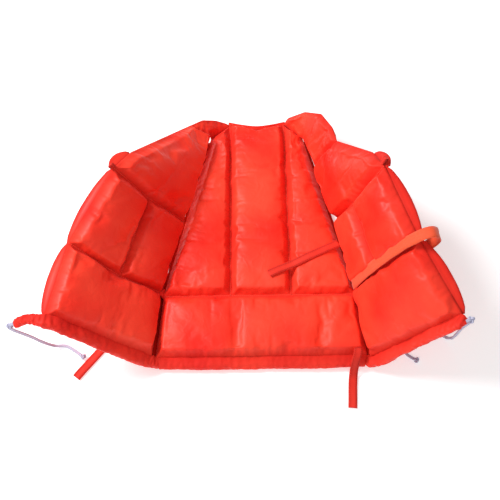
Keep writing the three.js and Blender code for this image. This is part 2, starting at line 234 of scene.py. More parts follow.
def knot(name, at, size, thickness, turn, material):
    """An overhand knot, drawn up tight."""
    t = np.linspace(0, 2 * math.pi, 49)[:-1]
    curve = np.stack([np.sin(t) + 2 * np.sin(2 * t), np.cos(t) - 2 * np.cos(2 * t), -1.3 * np.sin(3 * t)], 1)
    curve = np.array([Matrix.Rotation(turn, 3, "X") @ Vector(p) for p in curve]) * size / 3
    around = np.linspace(0, 2 * math.pi, 9)[:-1]
    tangent = unit(np.roll(curve, -1, 0) - np.roll(curve, 1, 0))
    side = unit(np.cross(tangent, unit(curve + 1e-3)))
    out = np.cross(tangent, side)
    rings = [[c + thickness * (1.25 * math.cos(a) * s + 0.8 * math.sin(a) * o) for a in around]
             for c, s, o in zip(curve, side, out)]
    rings.append(rings[0])
    points, faces = lofted(rings, closed_ends=False)
    count = len(around)
    whole = len(curve) * count
    faces = [tuple(i % whole for i in f) for f in faces]
    points = points[:whole] + np.asarray(at, float)
    cloth = np.stack([np.repeat(np.arange(len(curve)), count) * 0.0012,
                      np.tile(np.sin(around) * 0.003, len(curve)), np.full(whole, 0.001)], 1)
    return mesh_piece(name, points, faces, cloth, material)


def node_group(name, inputs, outputs):
    """An empty group of shader nodes, with its named sockets."""
    group = bpy.data.node_groups.new(name, "ShaderNodeTree")
    for socket, kind, value in inputs:
        made = group.interface.new_socket(name=socket, in_out="INPUT", socket_type=kind)
        if value is not None:
            made.default_value = value
    for socket, kind in outputs:
        group.interface.new_socket(name=socket, in_out="OUTPUT", socket_type=kind)
    return group, group.nodes.new("NodeGroupInput"), group.nodes.new("NodeGroupOutput")


def put(tree, kind, values=None, links=None, **settings):
    """One node, with its settings, socket values and incoming links."""
    node = tree.nodes.new(kind)
    for key, value in settings.items():
        setattr(node, key, value)
    return fill(tree, node, values, links)


def mixed(tree, factor, first, second):
    """A colour between two. The first is a colour, or another node's output."""
    node = put(tree, "ShaderNodeMix", links={0: factor}, data_type="RGBA")
    if isinstance(first, tuple):
        node.inputs[6].default_value = (*first, 1)
    else:
        tree.links.new(first, node.inputs[6])
    node.inputs[7].default_value = (*second, 1)
    return node.outputs[2]


def maths(tree, operation, first, second=None):
    node = tree.nodes.new("ShaderNodeMath")
    node.operation = operation
    for socket, value in zip(node.inputs, (first, second)):
        if isinstance(value, (int, float)):
            socket.default_value = value
        elif value is not None:
            tree.links.new(value, socket)
    return node.outputs[0]


# Plain weave: threads that pass over and under each other, from the fabric's own two directions.
weave, weave_in, weave_out = node_group(
    "plain_weave",
    [("Pitch", "NodeSocketFloat", 0.001)],
    [("Height", "NodeSocketFloat"), ("Thread Mask", "NodeSocketFloat")])
place_node = put(weave, "ShaderNodeAttribute", attribute_name="cloth_place")
split = put(weave, "ShaderNodeSeparateXYZ", links={0: place_node.outputs["Vector"]})
pitch = weave_in.outputs["Pitch"]
phase = [maths(weave, "MULTIPLY", maths(weave, "DIVIDE", split.outputs[k], pitch), math.pi) for k in (0, 1)]
warp = maths(weave, "MULTIPLY", maths(weave, "SINE", phase[0]), maths(weave, "SINE", phase[1]))
mask = maths(weave, "ADD", maths(weave, "MULTIPLY", warp, 0.5), 0.5)
fill(weave, weave_out, links={"Height": warp, "Thread Mask": mask})


tape_grey, tree, shader = paint("drawstring_tape")
threads = put(tree, "ShaderNodeGroup", {"Pitch": 0.0011}, node_tree=weave)
smudge = put(tree, "ShaderNodeTexNoise", {"Scale": 90, "Detail": 3})
tone = mixed(tree, smudge.outputs[0], (0.33, 0.32, 0.46), (0.66, 0.65, 0.80))
ridge = put(tree, "ShaderNodeBump", {"Strength": 0.5, "Distance": 0.0003},
            {"Height": threads.outputs["Height"]})
fill(tree, shader, {"Roughness": 0.75}, {"Base Color": tone, "Normal": ridge.outputs[0]})

for side_name, route in CORD_ROUTES.items():
    line = smooth_line(route, 8)
    upright = np.clip((line[:, 2:3] - 10) / 60, 0, 1)
    outward = np.array([0.1, -0.46, 0.88])
    face_up = unit(upright * outward + (1 - upright) * np.array([0, 0, 1.0]))
    travel = unit(np.gradient(line, axis=0))
    cord = ribbon(f"{side_name}_drawstring_end", line, np.cross(face_up, travel), TAPE_WIDTH, TAPE_THICK,
                  tape_grey)
    body = f"{side_name}_front"
    mouth_knot = knot(f"{side_name}_mouth_knot", line[MOUTH_KNOT_STEP], 6.0, 2.4, 0.6, tape_grey)
    tip = line[-1] + unit(line[-1] - line[-4]) * 5
    end_knot = knot(f"{side_name}_drawstring_knot", [tip[0], tip[1], 6.6], 5.2, 2.3, 0.0, tape_grey)
    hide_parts(f"{side_name}_drawstring_end")
    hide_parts(f"{side_name}_drawstring_knot")
    for piece in (cord, mouth_knot, end_knot):
        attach(piece, body)


# ---------- Nylon ----------
# Both layers are coated plain-weave nylon, orange red and rather glossy. It creases sharply where it is
# gathered into the seams, and the coating shows finer crumpling between the folds.
crumple, crumple_in, crumple_out = node_group(
    "coated_crumple",
    [("Scale", "NodeSocketFloat", 30.0), ("Seam Reach", "NodeSocketFloat", 0.02)],
    [("Height", "NodeSocketFloat"), ("Patches", "NodeSocketFloat"), ("Seam Mask", "NodeSocketFloat")])
place_node = put(crumple, "ShaderNodeTexCoord")
soft = put(crumple, "ShaderNodeTexNoise", {"Detail": 2, "Roughness": 0.45, "Distortion": 0.6},
           {"Vector": place_node.outputs["Object"], "Scale": crumple_in.outputs["Scale"]})
fold = maths(crumple, "ABSOLUTE", maths(crumple, "SUBTRACT", soft.outputs[0], 0.5))
patches = put(crumple, "ShaderNodeTexNoise", {"Scale": 7, "Detail": 3},
              {"Vector": place_node.outputs["Object"]})
cloth_node = put(crumple, "ShaderNodeAttribute", attribute_name="cloth_place")
cloth_parts = put(crumple, "ShaderNodeSeparateXYZ", links={0: cloth_node.outputs["Vector"]})
near = maths(crumple, "SUBTRACT", 1.0, maths(crumple, "MINIMUM", maths(
    crumple, "DIVIDE", cloth_parts.outputs[2], crumple_in.outputs["Seam Reach"]), 1.0))
fill(crumple, crumple_out, links={"Height": maths(crumple, "MULTIPLY", fold, -1.0),
                                  "Patches": patches.outputs[0], "Seam Mask": near})


def nylon(name, deep, bright, roughness):
    made, tree, shader = paint(name)
    crumple_sheen_seam_masks = put(tree, "ShaderNodeGroup", {"Scale": 34.0, "Seam Reach": 0.012}, node_tree=crumple)
    threads = put(tree, "ShaderNodeGroup", {"Pitch": 0.0007}, node_tree=weave)
    # Broad noise patches blend the deep and the bright red. This is partly a random change of tone and partly
    # painted sheen, standing for the broad satin highlights of the coated nylon.
    tone_and_sheen_patches = put(tree, "ShaderNodeMapRange", {"From Min": 0.32, "From Max": 0.68},
                 {"Value": crumple_sheen_seam_masks.outputs["Patches"]})
    seam = crumple_sheen_seam_masks.outputs["Seam Mask"]
    # Within the seam reach the colour is darkened toward a deeper red. This is painted shade in the hollow
    # where each pad pinches down to its seam.
    seam_shaded_tone = mixed(tree, maths(tree, "MULTIPLY", seam, 0.5), mixed(tree, tone_and_sheen_patches.outputs[0], deep, bright),
                      (deep[0] * 0.6, deep[1] * 0.5, deep[2] * 0.5))
    creased = put(tree, "ShaderNodeBump", {"Strength": 0.5, "Distance": 0.004},
                  {"Height": crumple_sheen_seam_masks.outputs["Height"]})
    woven = put(tree, "ShaderNodeBump", {"Strength": 0.12, "Distance": 0.0002},
                {"Height": threads.outputs["Height"], "Normal": creased.outputs[0]})
    rough = maths(tree, "ADD", maths(tree, "MULTIPLY", crumple_sheen_seam_masks.outputs["Patches"], 0.16), roughness - 0.08)
    rough = maths(tree, "ADD", rough, maths(tree, "MULTIPLY", seam, 0.42))
    fill(tree, shader, {"Specular IOR Level": 0.3, "Sheen Weight": 0.03, "Sheen Roughness": 0.4},
         {"Base Color": seam_shaded_tone, "Roughness": rough, "Normal": woven.outputs[0]})
    return made


lining_nylon = nylon("lining_nylon", (0.88, 0.014, 0.005), (1.0, 0.058, 0.024), 0.48)
outer_nylon = nylon("outer_nylon", (0.80, 0.012, 0.005), (0.94, 0.040, 0.016), 0.48)


# ---------- Back panel ----------
# Four foam slabs in pockets sewn between lining and outer nylon: a wide one below the waist seam and
# three upright ones above it. The fabric is cut fuller than the foam, so it puckers at each seam.
CELL = 5.0
OUTER_RISE = 24.0
INNER_RISE = 20.0
SEAM_LEVEL = 24.0
PAD_SLOPE = 16.0
GATHER_DEPTH = 1.0
GATHER_REACH = 16.0
PINCH_LENGTH = 8.5
WIDE_PINCH_LENGTH = 21
BROAD_LENGTH = 46
FEWEST_CELLS = 6
SIDE_SHIFT = 37.0
INNER_HOLD = 0.035


def evenly(points, count):
    """A polyline cut into equal steps."""
    points = np.asarray(points, float)
    run = line_steps(points)
    at = np.linspace(0, run[-1], count + 1)
    return np.stack([np.interp(at, run, points[:, k]) for k in range(3)], 1)


def spanned(low, right, high, left):
    """The surface stretched between four sides. low and high run left to right, the others upwards."""
    wide, tall = (max(line_steps(np.asarray(side, float))[-1] for side in pair) / CELL
                  for pair in ((low, high), (left, right)))
    wide, tall = max(FEWEST_CELLS, round(wide)), max(FEWEST_CELLS, round(tall))
    low, high = evenly(low, wide), evenly(high, wide)
    left, right = evenly(left, tall), evenly(right, tall)
    u = np.linspace(0, 1, wide + 1)[None, :, None]
    v = np.linspace(0, 1, tall + 1)[:, None, None]
    ruled = (1 - v) * low[None] + v * high[None] + (1 - u) * left[:, None] + u * right[:, None]
    corner = ((1 - u) * (1 - v) * low[0] + u * (1 - v) * low[-1] + (1 - u) * v * high[0] + u * v * high[-1])
    return ruled - corner


def seam_distance(points, sides):
    """Distance of each point from the nearest seam, and how far along that seam it is."""
    best = np.full(len(points), 1e9)
    run = np.zeros(len(points))
    travelled = 0.0
    for side in sides:
        side = np.asarray(side, float)
        for a, b in zip(side[:-1], side[1:]):
            d = b - a
            size = np.linalg.norm(d)
            t = np.clip(((points - a) @ d) / (size * size), 0, 1)
            off = np.linalg.norm(points - a - t[:, None] * d, axis=1)
            closer = off < best
            best[closer] = off[closer]
            run[closer] = travelled + t[closer] * size
            travelled += size
        travelled += SIDE_SHIFT
    return best, run


def pad(name, sides, rises, seed, slope=PAD_SLOPE, gather=GATHER_DEPTH, crown=2.0):
    """A slab of foam in its pocket: two fabric faces that meet along the seams all round."""
    surface = spanned(*sides)
    rows, columns = surface.shape[:2]
    across = np.gradient(surface, axis=1)
    upward = np.gradient(surface, axis=0)
    normal = unit(np.cross(across, upward)).reshape(-1, 3)
    middle = surface.reshape(-1, 3)
    off, run = seam_distance(middle, sides)
    rim = np.zeros((rows, columns), bool)
    rim[[0, -1], :] = True
    rim[:, [0, -1]] = True
    rim = rim.ravel()
    off[rim] = 0
    t = np.clip(off / slope, 0, 1)
    rounded = np.clip(1.18 * t, 0, 1) - 0.09 * np.clip(1 - np.abs(t - 0.85) / 0.22, 0, 1) ** 2
    full = np.clip(off / (3.2 * slope), 0, 1)
    swell = crown * full * (2 - full)
    run_u = np.concatenate([[0], np.cumsum(np.linalg.norm(across[rows // 2, 1:], axis=1))])
    run_v = np.concatenate([[0], np.cumsum(np.linalg.norm(upward[1:, columns // 2], axis=1))])
    fabric_u, fabric_v = np.meshgrid(run_u, run_v)
    flat = np.stack([fabric_u.ravel(), fabric_v.ravel()], 1)
    points, cloth, index = [], [], {}
    for face, rise in ((1, rises[0]), (-1, rises[1])):
        for i in range(rows * columns):
            if rim[i] and face < 0:
                index[(face, i)] = index[(1, i)]
                continue
            height = rise * rounded[i] + swell[i]
            if not rim[i]:
                pinch = noise.noise(Vector((run[i] / PINCH_LENGTH, seed, face * 3.1)))
                wide_pinch = noise.noise(Vector((run[i] / WIDE_PINCH_LENGTH, seed + 7, face * 2.3)))
                fade = math.exp(-off[i] / GATHER_REACH) * min(1.0, off[i] / 4)
                height += gather * fade * (1.6 * pinch + 1.5 * wide_pinch)
                broad = noise.noise(Vector(middle[i] / BROAD_LENGTH) + Vector((seed, face, 0)))
                height += gather * 0.8 * broad * t[i]
            index[(face, i)] = len(points)
            points.append(middle[i] + normal[i] * face * height)
            cloth.append((*(flat[i] / 1000), off[i] / 1000))
    faces = []
    for r in range(rows - 1):
        for c in range(columns - 1):
            a, b = r * columns + c, r * columns + c + 1
            d, e = a + columns, b + columns
            faces.append([index[(1, k)] for k in (a, b, e, d)])
            faces.append([index[(-1, k)] for k in (d, e, b, a)])
    made = mesh_piece(name, points, faces, cloth, lining_nylon)
    made.data.materials.append(outer_nylon)
    for number, polygon in enumerate(made.data.polygons):
        polygon.material_index = number % 2
    on_rim = {index[(1, i)] for i in range(rows * columns) if rim[i]}
    rim_edge = made.data.attributes.new("crease_edge", "FLOAT", "EDGE")
    rim_edge.data.foreach_set("value", [float(on_rim.issuperset(edge.vertices)) for edge in made.data.edges])
    pinned = made.vertex_groups.new(name="sewn")
    pinned.add(sorted(on_rim), 1.0, "REPLACE")
    pinned.add([i for i in range(len(points)) if i not in on_rim], INNER_HOLD, "REPLACE")
    pads.append(made)
    return made


pads = []
BACK = {
    "hem_left": [-229, 0, SEAM_LEVEL], "hem_right": [227, 0, SEAM_LEVEL],
    "waist_left": [-219, 143, SEAM_LEVEL], "waist_right": [214, 143, SEAM_LEVEL],
    "slab_left": [-68, 143, SEAM_LEVEL], "slab_right": [68, 143, SEAM_LEVEL],
    "neck_left": [-68, 618, SEAM_LEVEL], "neck_right": [68, 618, SEAM_LEVEL],
    "neck_dip": [0, 604, SEAM_LEVEL],
    "arm_left": [-117, 574, SEAM_LEVEL], "arm_right": [115, 574, SEAM_LEVEL],
}


def seams(corners, low, right, high, left):
    return [[corners[name] for name in side.split()] for side in (low, right, high, left)]


BACK_PADS = {
    "lower": seams(BACK, "hem_left hem_right", "hem_right waist_right",
                   "waist_left slab_left slab_right waist_right", "hem_left waist_left"),
    "left": seams(BACK, "waist_left slab_left", "slab_left neck_left", "arm_left neck_left",
                  "waist_left arm_left"),
    "centre": seams(BACK, "slab_left slab_right", "slab_right neck_right", "neck_left neck_dip neck_right",
                    "slab_left neck_left"),
    "right": seams(BACK, "slab_right waist_right", "waist_right arm_right", "neck_right arm_right",
                   "slab_right neck_right"),
}
for number, (block, sides) in enumerate(BACK_PADS.items()):
    piece = pad(f"back_{block}_pad", sides, (INNER_RISE, OUTER_RISE), 11.0 + number)
    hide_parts(f"back_{block}_foam", "back_lining", "back_outer_fabric")


# ---------- Front panels ----------
# Each front has a lower slab, two beside each other over the waist, and a shoulder slab cut off at a slant
# by the neck edge, shorter on the right. Both stand half open, each at its own angle. The corners are the
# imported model's, with those beside the back up to 11 mm nearer to it.
FRONTS = {
    "left": {
        "hem_front": [-429, 33, 192], "hem_arm": [-237, 2, 29],
        "waist_front": [-399, 194, 192], "waist_mid": [-307, 160, 100], "waist_arm": [-223, 152, 25],
        "chest_front": [-310, 346, 239], "chest_mid": [-251, 335, 136], "chest_arm": [-178, 330, 37],
        "neck_front": [-280, 404, 214], "shoulder_neck": [-171, 577, 76], "shoulder_arm": [-116, 572, 45]},
    "right": {
        "hem_front": [383, 15, 216], "hem_arm": [232, -5, 26],
        "waist_front": [312, 162, 246], "waist_mid": [250, 154, 137], "waist_arm": [216, 157, 29],
        "chest_front": [259, 333, 254], "chest_mid": [211, 314, 139], "chest_arm": [187, 335, 32],
        "neck_front": [245, 391, 222], "shoulder_neck": [183, 482, 140], "shoulder_arm": [141, 476, 40]},
}
FRONT_PADS = {
    "lower": ("hem_front hem_arm", "hem_arm waist_arm", "waist_front waist_mid waist_arm",
              "hem_front waist_front"),
    "mid_front": ("waist_front waist_mid", "waist_mid chest_mid", "chest_front chest_mid",
                  "waist_front chest_front"),
    "mid_arm": ("waist_mid waist_arm", "waist_arm chest_arm", "chest_mid chest_arm", "waist_mid chest_mid"),
    "shoulder": ("chest_front chest_mid chest_arm", "chest_arm shoulder_arm", "shoulder_neck shoulder_arm",
                 "chest_front neck_front shoulder_neck"),
}


def mirrored(low, right, high, left):
    """The same pad on the other front: its low and high sides run from the arm to the front edge."""
    low, high = (" ".join(reversed(words.split())) for words in (low, high))
    return low, left, high, right


for side_name, corners in FRONTS.items():
    for number, (block, words) in enumerate(FRONT_PADS.items()):
        words = mirrored(*words) if side_name == "right" else words
        piece = pad(f"{side_name}_{block}_pad", seams(corners, *words), (INNER_RISE, OUTER_RISE),
                    21.0 + number + 9 * (side_name == "right"))
        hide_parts(f"{side_name}_{block}_foam", f"{side_name}_lining", f"{side_name}_outer_fabric")


# ---------- Shoulder straps ----------
# A lightly padded piece joins the top of the back to each front. The left one is a short fold, and the
# right one a longer run, sewn across where the shoulder slab ends.
STRAPS = {
    "left": ([BACK["arm_left"], BACK["neck_left"]],
             [BACK["neck_left"], [-80, 622, 29], [-104, 620, 43], [-136, 604, 66],
              FRONTS["left"]["shoulder_neck"]],
             [FRONTS["left"]["shoulder_arm"], FRONTS["left"]["shoulder_neck"]],
             [BACK["arm_left"], [-119, 582, 36], FRONTS["left"]["shoulder_arm"]]),
    "right": ([BACK["neck_right"], BACK["arm_right"]],
              [BACK["arm_right"], [116, 566, 34], FRONTS["right"]["shoulder_arm"]],
              [FRONTS["right"]["shoulder_neck"], FRONTS["right"]["shoulder_arm"]],
              [BACK["neck_right"], [79, 629, 38], [119, 615, 80], [156, 587, 107], [176, 530, 130],
               FRONTS["right"]["shoulder_neck"]]),
}
STRAP_RISES = {"left": (4, 5), "right": (8, 9)}
for side_name, sides in STRAPS.items():
    piece = pad(f"{side_name}_strap_pad", sides, STRAP_RISES[side_name], 41.0 + len(side_name), slope=13,
                crown=0.5)
    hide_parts(f"{side_name}_shoulder_strap")


# The pockets are filled by simulation: the seams hold, and the fullness of the fabric buckles between them.
SETTLE_FRAMES = 16
MOST_DRIFT = 0.007
LEAST_HEIGHT = 0.0008


def shape_of(piece):
    co = np.zeros(len(piece.data.vertices) * 3, np.float32)
    piece.data.vertices.foreach_get("co", co)
    return co.reshape(-1, 3).astype(float)


def settle(pieces):
    before = {piece.name: shape_of(piece) for piece in pieces}
    for piece in pieces:
        cloth = piece.modifiers.new("fabric", "CLOTH").settings
        cloth.quality = 5
        cloth.mass = 0.15
        cloth.tension_stiffness = cloth.compression_stiffness = 22
        cloth.shear_stiffness = 8
        cloth.bending_stiffness = 0.35
        cloth.use_pressure = True
        cloth.uniform_pressure_force = 2.2
        cloth.shrink_min = -0.055
        cloth.vertex_group_mass = "sewn"
        cloth.pin_stiffness = 1.0
        cloth.effector_weights.gravity = 0
    for step in range(1, SETTLE_FRAMES + 1):
        bpy.context.scene.frame_set(step)
    shapes = bpy.context.evaluated_depsgraph_get()
    for piece in pieces:
        settled = piece.evaluated_get(shapes).to_mesh()
        after = np.array([v.co for v in settled.vertices], float)
        piece.evaluated_get(shapes).to_mesh_clear()
        drift = after - before[piece.name]
        size = np.maximum(np.linalg.norm(drift, axis=1, keepdims=True), 1e-9)
        after = before[piece.name] + drift * (MOST_DRIFT * np.tanh(size / MOST_DRIFT) / size)
        piece.modifiers.clear()
        piece.data.vertices.foreach_set("co", after.astype(np.float32).ravel())
    bpy.context.scene.frame_set(1)


settle(pads)
for piece in pads:
    shape = shape_of(piece)
    shape[:, 2] = np.maximum(shape[:, 2], LEAST_HEIGHT)
    piece.data.vertices.foreach_set("co", shape.astype(np.float32).ravel())
    piece.data.update()
    part = piece.name.split("_")[0]
    if "strap" in piece.name:
        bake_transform(piece)
        continue
    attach(piece, "back_panel" if part == "back" else f"{part}_front")
for piece in pads:
    piece.modifiers.new("smooth", "SUBSURF").levels = 1
    piece.modifiers["smooth"].render_levels = 1

# ---------- Seams ----------
# A narrow tape covers each seam between pads, and the lockstitches that hold it show as short threads
# standing a little proud of it.
STITCH_PITCH = 4.5
STITCH_HALF = 1.4
STITCH_RADIUS = (0.45, 0.35)
thread_red, tree, shader = paint("sewing_thread")
fuzz = put(tree, "ShaderNodeTexNoise", {"Scale": 900, "Detail": 2})
fill(tree, shader, {"Roughness": 0.6},
     {"Base Color": mixed(tree, fuzz.outputs[0], (0.72, 0.05, 0.03), (1.0, 0.16, 0.10))})


def stitches(name, lines, lifts, material):
    """Short threads along each line, lifted off the fabric along its own normal."""
    points, faces = [], []
    for line, lift in zip(lines, lifts):
        run = line_steps(line)
        count = int(run[-1] / STITCH_PITCH)
        for k in range(count):
            middle = (k + 0.5) / count * run[-1]
            ends = [np.array([np.interp(middle + d, run, line[:, axis]) for axis in range(3)])
                    for d in (-STITCH_HALF, 0, STITCH_HALF)]
            travel = unit(ends[2] - ends[0])
            side = unit(np.cross(travel, lift))
            up = np.cross(side, travel)
            wide, tall = STITCH_RADIUS
            rings = [[end + up * (bulge + tall * math.sin(a) * fat) + side * wide * math.cos(a) * fat
                      for a in np.linspace(0, 2 * math.pi, 6)[:-1]]
                     for end, bulge, fat in zip(ends, (0.0, 0.45, 0.0), (0.5, 1.0, 0.5))]
            more, quads = lofted(rings)
            faces += [tuple(i + len(points) for i in f) for f in quads]
            points += list(more)
    return mesh_piece(name, points, faces, material=material)


def seam_tapes(part, runs):
    lines, lifts, pieces = [], [], []
    for number, (ends, normal) in enumerate(runs):
        line = evenly(ends, max(8, int(line_steps(np.asarray(ends, float))[-1] / 8)))
        travel = unit(np.gradient(line, axis=0))
        lift = unit(np.asarray(normal, float))
        tape = ribbon(f"{part}_seam_tape_{number + 1}", line + lift * 2.2, np.cross(travel, lift), 6, 1.6,
                      lining_nylon, ripple=0.8, seed=3.0 + number)
        lines.append(line + lift * 3.0)
        lifts.append(lift)
        pieces.append(tape)
    pieces.append(stitches(f"{part}_seam_stitches", lines, lifts, thread_red))
    body = "back_panel" if part == "back" else f"{part}_front"
    for piece in pieces:
        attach(piece, body)


seam_tapes("back", [([BACK["waist_left"], BACK["waist_right"]], (0, 0, 1)),
                    ([BACK["slab_left"], BACK["neck_left"]], (0, 0, 1)),
                    ([BACK["slab_right"], BACK["neck_right"]], (0, 0, 1))])


def inward_of(side_name, low, right, high):
    """The lining side's direction at a corner of a front panel, from two seams that meet there."""
    c = {key: np.array(value, float) for key, value in FRONTS[side_name].items()}
    turn = 1 if side_name == "left" else -1
    return unit(np.cross(c[high] - c[low], c[right] - c[low])) * turn


for side_name, corners in FRONTS.items():
    waist_in = inward_of(side_name, "waist_arm", "waist_front", "chest_arm")
    chest_in = inward_of(side_name, "chest_arm", "chest_front", "shoulder_arm")
    seam_tapes(side_name, [
        ([corners["waist_arm"], corners["waist_mid"], corners["waist_front"]], waist_in),
        ([corners["chest_arm"], corners["chest_mid"], corners["chest_front"]], chest_in),
        ([corners["waist_mid"], corners["chest_mid"]], waist_in)])

# ---------- Armhole facings and side gathers ----------
# The outer nylon is turned in along each armhole and hem slit as a narrow facing, its matt side showing. The
# facings are coloured a far darker red than the nylon as painted shade, so that the gaps they close read as
# shadowed.
# A short gathered piece ties the back to each front at the waist, over the belt where it passes through.
# Dark, unglossy red: painted shade for the shadowed armhole and slit gaps, laid over the real matt facing.
facing_nylon = nylon("facing_nylon", (0.40, 0.008, 0.004), (0.55, 0.014, 0.006), 0.8)
tree = facing_nylon.node_tree
fill(tree, tree.nodes["Principled BSDF"], {"Specular IOR Level": 0.0, "Sheen Weight": 0.0})
SLIT_DEPTH = {"back": -7, "front": -4}
SLIT_WIDTH = {"back": 13, "front": 8}
for turn, part in ((-1, "left"), (1, "right")):
    low, high = np.array(BACK[f"waist_{part}"], float), np.array(BACK[f"arm_{part}"], float)
    edge_line = evenly([low + 0.02 * (high - low), low + 0.985 * (high - low)], 60)
    outward = unit(np.cross(high - low, [0, 0, 1.0])) * turn * np.sign(np.cross(high - low, [0, 0, 1.0])[0])
    facing_line = edge_line + outward * 2.5 + np.array([0, 0, -5.0])
    lean = unit(outward * 0.8 + np.array([0, 0, -0.75]))
    piece = ribbon(f"back_{part}_armhole_facing", facing_line, lean, 15, 2.0, facing_nylon, ripple=2.2,
                   seed=12.0 + turn)
    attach(piece, "back_panel")
    front_at, front_low = (np.array(FRONTS[part][key], float) for key in ("waist_arm", "hem_arm"))
    back_low = np.array(BACK[f"hem_{part}"], float)
    for owner, bottom, top, side in (("back", back_low, low, turn), ("front", front_low, front_at, -turn)):
        slit_line = evenly([bottom, top], 40) + [side * 2.0, 0, SLIT_DEPTH[owner]]
        piece = ribbon(f"{part}_slit_{owner}_facing", slit_line, unit([side * 0.8, 0, -0.6]),
                       SLIT_WIDTH[owner], 1.8, facing_nylon, ripple=1.4, seed=22.0 + side)
        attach(piece, "back_panel" if owner == "back" else f"{part}_front")
    bridge = smooth_line([low + [-turn * 9, 3, -1], low + [-turn, 4, 3], (low + front_at) / 2 + [0, 2, 5],
                          front_at + [turn * 3, 2, 4], front_at + [turn * 11, 2, 10]], 10)
    piece = ribbon(f"{part}_waist_gather", bridge, (0, 1, 0), 21, 5, outer_nylon, ripple=5.0,
                   seed=15.0 + turn)
    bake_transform(piece)

# ---------- Side walls ----------
# The slabs stand thick at each front's opening edge, where the outer nylon turns over them as a side wall
# that swells between the seams and is drawn in at each of them.
for side_name, turn in (("left", 1), ("right", -1)):
    c = {key: np.array(value, float) for key, value in FRONTS[side_name].items()}
    edge_corners = [c["hem_front"], c["waist_front"], c["chest_front"], c["neck_front"]]
    wall_line, wall_across, wall_width = [], [], []
    for low, high in zip(edge_corners[:-1], edge_corners[1:]):
        inward = unit(np.cross(high - low, c["waist_mid"] - low)) * -turn
        inward = inward * np.sign(inward[2])
        outward = unit(low - c["waist_mid"] - (high - low) * np.dot(low - c["waist_mid"], high - low)
                       / np.dot(high - low, high - low))
        for t in np.linspace(0, 1, 15)[(0 if not wall_line else 1):]:
            swell = math.sin(math.pi * t) ** 0.6
            wall_line.append(low + (high - low) * t + outward * (-3 + 6 * swell) - inward * (6 + 5 * swell))
            wall_across.append(outward * 0.55 - inward * 0.83)
            wall_width.append(5 + 19 * swell)
    piece = ribbon(f"{side_name}_edge_wall", wall_line, wall_across, wall_width, 4, outer_nylon, ripple=1.5,
                   seed=20.0 + turn)
    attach(piece, f"{side_name}_front")

# ---------- Neck facing ----------
# A folded strip of nylon bound over the raw neckline between the two straps, slightly gathered.
neck_line = smooth_line([[-72, 621, 25], [-34, 612, 25.5], [0, 607.5, 26], [34, 612, 25.5],
                         [72, 621, 25]], 10)
facing = ribbon("neck_facing_strip", neck_line, (0, 0.8, 0.6), 11, 4, lining_nylon, ripple=2.0, seed=8.0)
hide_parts("neck_facing")
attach(facing, "back_panel")

# ---------- Hem casings ----------
# The hem is folded over and sewn down as a tunnel for the drawstring. Pulled up, it gathers most at the
# two side corners, and at the left front it runs on past the panel as a flattened tail.
CASING_RUNS = {
    "back": ([[-229, 3, 24], [-110, 6, 23], [0, 7, 23], [110, 6, 23], [227, 3, 24]],
             [[-224, -12, 15], [-110, -14, 15], [0, -13, 14], [110, -14, 15], [222, -12, 15]],
             [(10, 8), (11, 8), (11, 8), (11, 8), (10, 8)], 1.3),
    "left": ([[-226, 4, 24], [-238, 7, 31], [-334, 23, 113], [-425, 38, 192], [-460, 37, 193],
              [-491, 31, 181]],
             [[-224, -13, 15], [-246, -13, 29], [-336, 2, 110], [-426, 19, 187], [-461, 27, 187],
              [-491, 23, 176]],
             [(8, 7), (9, 8), (10, 9), (10, 9), (10, 5.5), (9, 4)], 2.0),
    "right": ([[224, 4, 24], [233, -1, 27], [308, 10, 120], [380, 20, 214], [387, 13, 216], [391, 8, 213]],
              [[224, -13, 15], [237, -18, 24], [310, -8, 117], [371, -1, 198], [381, 1, 206], [388, 3, 209]],
              [(8, 7), (10, 9), (10, 9), (10, 8), (9, 6), (7, 4)], 2.2),
}


FOLD_LENGTH = 6.5
SAG_LENGTH = 38


def casing(name, seam_points, core_points, radii, pucker, seed):
    """A fabric tunnel hanging from a seam: its section is a teardrop with the point at the seam."""
    seam, core = smooth_line(seam_points, 22), smooth_line(core_points, 22)
    spread = np.linspace(0, len(radii) - 1, len(core))
    size = np.array([np.interp(spread, range(len(radii)), [r[k] for r in radii]) for k in (0, 1)]).T
    travel = unit(np.gradient(core, axis=0))
    reach = seam - core
    reach = reach - (reach * travel).sum(1, keepdims=True) * travel
    toward = unit(reach)
    square = np.cross(travel, toward)
    run = line_steps(core)
    around = np.linspace(0, 2 * math.pi, 21)[:-1]
    rings, cloth = [], []
    for k in range(len(core)):
        ring = []
        for a in around:
            ahead, aside = math.cos(a), math.sin(a)
            fold = noise.noise(Vector((run[k] / FOLD_LENGTH + 0.5 * aside, ahead * 0.9, aside * 0.9 + seed)))
            sag = noise.noise(Vector((run[k] / SAG_LENGTH, ahead * 0.8, aside * 0.8 - seed)))
            swell = pucker * (1.5 * fold + 1.1 * sag)
            point = (core[k] + toward[k] * (size[k, 0] + swell) * ahead
                     + square[k] * (size[k, 1] + swell) * aside)
            pull = max(0.0, ahead) ** 3
            point = point + pull * (seam[k] - core[k] - toward[k] * size[k, 0])
            point[2] = max(point[2], LEAST_HEIGHT * 1000)
            ring.append(point)
            cloth.append((run[k] / 1000, a * 0.01, 0.012 * (1 - ahead) / 2 + 0.001))
        rings.append(ring)
    points, faces = lofted(rings)
    cloth += [cloth[0], cloth[-1]]
    made = mesh_piece(name, points, faces, cloth, outer_nylon)
    made.modifiers.new("smooth", "SUBSURF").levels = 1
    return made


for number, (part, (seam_points, core_points, radii, pucker)) in enumerate(CASING_RUNS.items()):
    piece = casing(f"{part}_hem_tunnel", seam_points, core_points, radii, pucker, 5.0 + number)
    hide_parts(f"{part}_hem_casing", f"{part}_drawstring")
    if part == "back":
        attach(piece, "back_panel")
    else:
        corner = FRONTS[part]["hem_arm"]
        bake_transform(piece)


